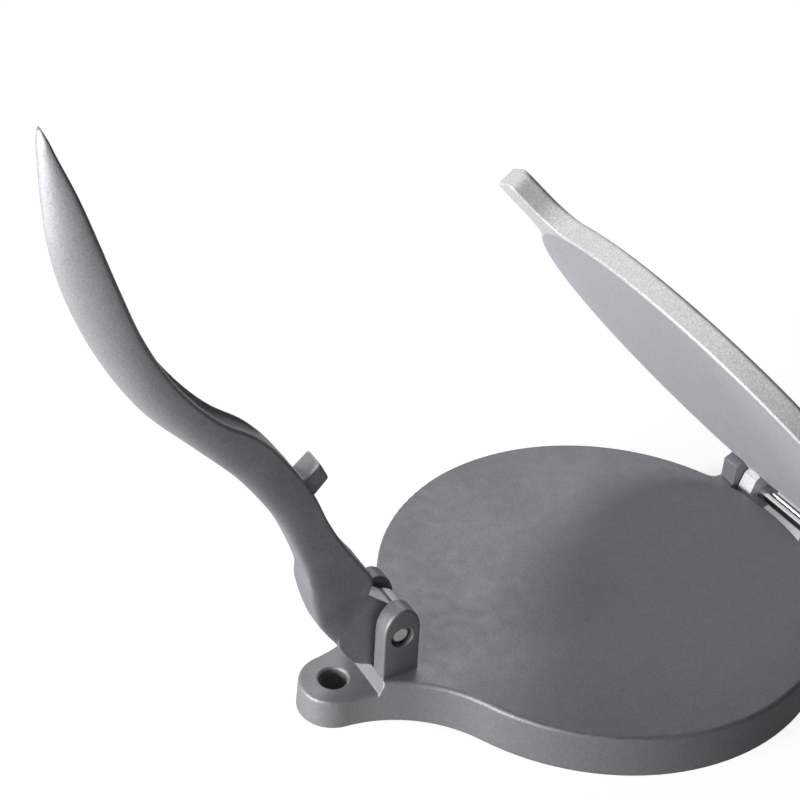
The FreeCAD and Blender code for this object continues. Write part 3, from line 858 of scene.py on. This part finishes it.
def seen_or_mirrored(tree, rays, where, seen, span, mirrored):
    """A strength: one value for the camera, a graded one for what the metal mirrors."""
    along = add_node(tree, "ShaderNodeVectorMath", (-600, -200), operation="DOT_PRODUCT")
    along.inputs[1].default_value = BRIGHT_SIDE
    join(tree, where, along.inputs[0])
    graded = map_range(tree, along.outputs["Value"], (-400, -200), span, mirrored)
    strength = add_node(tree, "ShaderNodeMix", (-200, -200), data_type="FLOAT")
    join(tree, rays.outputs["Is Camera Ray"], strength.inputs["Factor"])
    join(tree, graded, strength.inputs["A"])
    strength.inputs["B"].default_value = seen
    return strength.outputs["Result"]


def white_paper():
    material, tree, out = new_material("white_paper", (600, 0))
    rays = add_node(tree, "ShaderNodeLightPath", (0, 400))
    place = add_node(tree, "ShaderNodeTexCoord", (-800, -200))
    paper = add_node(tree, "ShaderNodeBsdfDiffuse", (0, 100), Color=FLOOR_COLOUR)
    glow = add_node(tree, "ShaderNodeEmission", (0, -100))
    strength = seen_or_mirrored(
        tree, rays, place.outputs["Object"], FLOOR_GLOW, FLOOR_SIDE_SPAN, FLOOR_MIRRORED
    )
    # Painted shade: the glow fades where occlusion finds the floor closed in.
    closed_in = add_node(
        tree, "ShaderNodeAmbientOcclusion", (-600, -500), samples=8, Distance=CLOSED_REACH
    )
    open_floor = map_range(tree, closed_in.outputs["AO"], (-400, -500), CLOSED_AIR)
    shaded = sum_up(tree, "MULTIPLY", strength, open_floor, (-50, -300))
    from_shadow_centre = add_node(tree, "ShaderNodeVectorMath", (-600, -700), operation="DISTANCE")
    from_shadow_centre.inputs[1].default_value = PAINTED_SHADOW_CENTRE
    join(tree, place.outputs["Object"], from_shadow_centre.inputs[0])
    painted_shadow = map_range(
        tree,
        from_shadow_centre.outputs["Value"],
        (-400, -700),
        (0.0, PAINTED_SHADOW_REACH),
        (PAINTED_SHADOW_GLOW, 1.0),
        interpolation_type="SMOOTHSTEP",
    )
    dimmed = sum_up(tree, "MULTIPLY", shaded, painted_shadow, (50, -400))
    join(tree, dimmed, glow.inputs["Strength"])
    both = add_node(tree, "ShaderNodeAddShader", (200, 0))
    join(tree, paper.outputs["BSDF"], both.inputs[0])
    join(tree, glow.outputs["Emission"], both.inputs[1])
    glowing = sum_up(
        tree, "MAXIMUM", rays.outputs["Is Camera Ray"], rays.outputs["Is Glossy Ray"], (200, 300)
    )
    choose = add_node(tree, "ShaderNodeMixShader", (400, 0))
    join(tree, glowing, choose.inputs["Fac"])
    join(tree, paper.outputs["BSDF"], choose.inputs[1])
    join(tree, both.outputs["Shader"], choose.inputs[2])
    join(tree, choose.outputs["Shader"], out.inputs["Surface"])
    return material


def make_floor():
    mesh = bpy.data.meshes.new("floor")
    shape = bmesh.new()
    bmesh.ops.create_circle(shape, cap_ends=True, radius=FLOOR_RADIUS, segments=FLOOR_SEGMENTS)
    bmesh.ops.translate(shape, verts=shape.verts, vec=Vector((PLATE_OFFSET, 0.0, 0.0)))
    shape.to_mesh(mesh)
    shape.free()
    floor = bpy.data.objects.new("floor", mesh)
    bpy.context.collection.objects.link(floor)
    mesh.materials.append(white_paper())
    return floor


floor = make_floor()
print("floor radius", FLOOR_RADIUS)

# %% [markdown]
# The light. The photograph was lit by one large lamp on the left, which brightens every face
# that looks towards the lever, and one behind on the far right, which throws the raised
# plate's shadow forward over the lower plate. Large lamps close by give soft edges. The
# world adds a little plain light, and shows white only to the camera and to reflections.

# %% Lamps
AIM_HEIGHT = 0.06
LEFT_LAMP = {"away": Vector((-1.6, -0.1, 0.10)), "size": 0.9, "watts": 53.0}
BACK_LAMP = {"away": Vector((0.55, 0.95, 1.2)), "size": 0.45, "watts": 5.4}
FILL_STRENGTH = 0.07
WORLD_WHITE = 1.0
WORLD_SIDE_SPAN = (-0.1, 0.95)
WORLD_MIRRORED = (0.08, 1.0)
WHITE = (1.0, 1.0, 1.0, 1.0)
aim_point = plate_centre + Vector((0.0, 0.0, AIM_HEIGHT))


def add_lamp(name, away, size, watts):
    """A square lamp that stands away from the aim point and looks at it."""
    lamp = bpy.data.lights.new(name, "AREA")
    lamp.shape = "SQUARE"
    lamp.size = size
    lamp.energy = watts
    holder = bpy.data.objects.new(name, lamp)
    bpy.context.collection.objects.link(holder)
    holder.location = aim_point + away
    direction = aim_point - holder.location
    holder.rotation_euler = direction.to_track_quat("-Z", "Y").to_euler()
    print(name, watts, "W")


def set_world():
    world = bpy.data.worlds.new("studio")
    bpy.context.scene.world = world
    world.use_nodes = True
    tree = world.node_tree
    tree.nodes.clear()
    out = add_node(tree, "ShaderNodeOutputWorld", (600, 0))
    rays = add_node(tree, "ShaderNodeLightPath", (-200, 400))
    place = add_node(tree, "ShaderNodeTexCoord", (-800, -200))
    fill = add_node(tree, "ShaderNodeBackground", (0, 100), Color=WHITE, Strength=FILL_STRENGTH)
    white = add_node(tree, "ShaderNodeBackground", (0, -100), Color=WHITE)
    strength = seen_or_mirrored(
        tree, rays, place.outputs["Generated"], WORLD_WHITE, WORLD_SIDE_SPAN, WORLD_MIRRORED
    )
    join(tree, strength, white.inputs["Strength"])
    seen = sum_up(
        tree, "MAXIMUM", rays.outputs["Is Camera Ray"], rays.outputs["Is Glossy Ray"], (0, 400)
    )
    seen = sum_up(tree, "MAXIMUM", seen, rays.outputs["Is Transmission Ray"], (200, 300))
    choose = add_node(tree, "ShaderNodeMixShader", (400, 0))
    join(tree, seen, choose.inputs["Fac"])
    join(tree, fill.outputs["Background"], choose.inputs[1])
    join(tree, white.outputs["Background"], choose.inputs[2])
    join(tree, choose.outputs["Shader"], out.inputs["Surface"])


add_lamp("left_lamp", **LEFT_LAMP)
add_lamp("back_lamp", **BACK_LAMP)
set_world()
bpy.context.scene.view_settings.view_transform = "Standard"
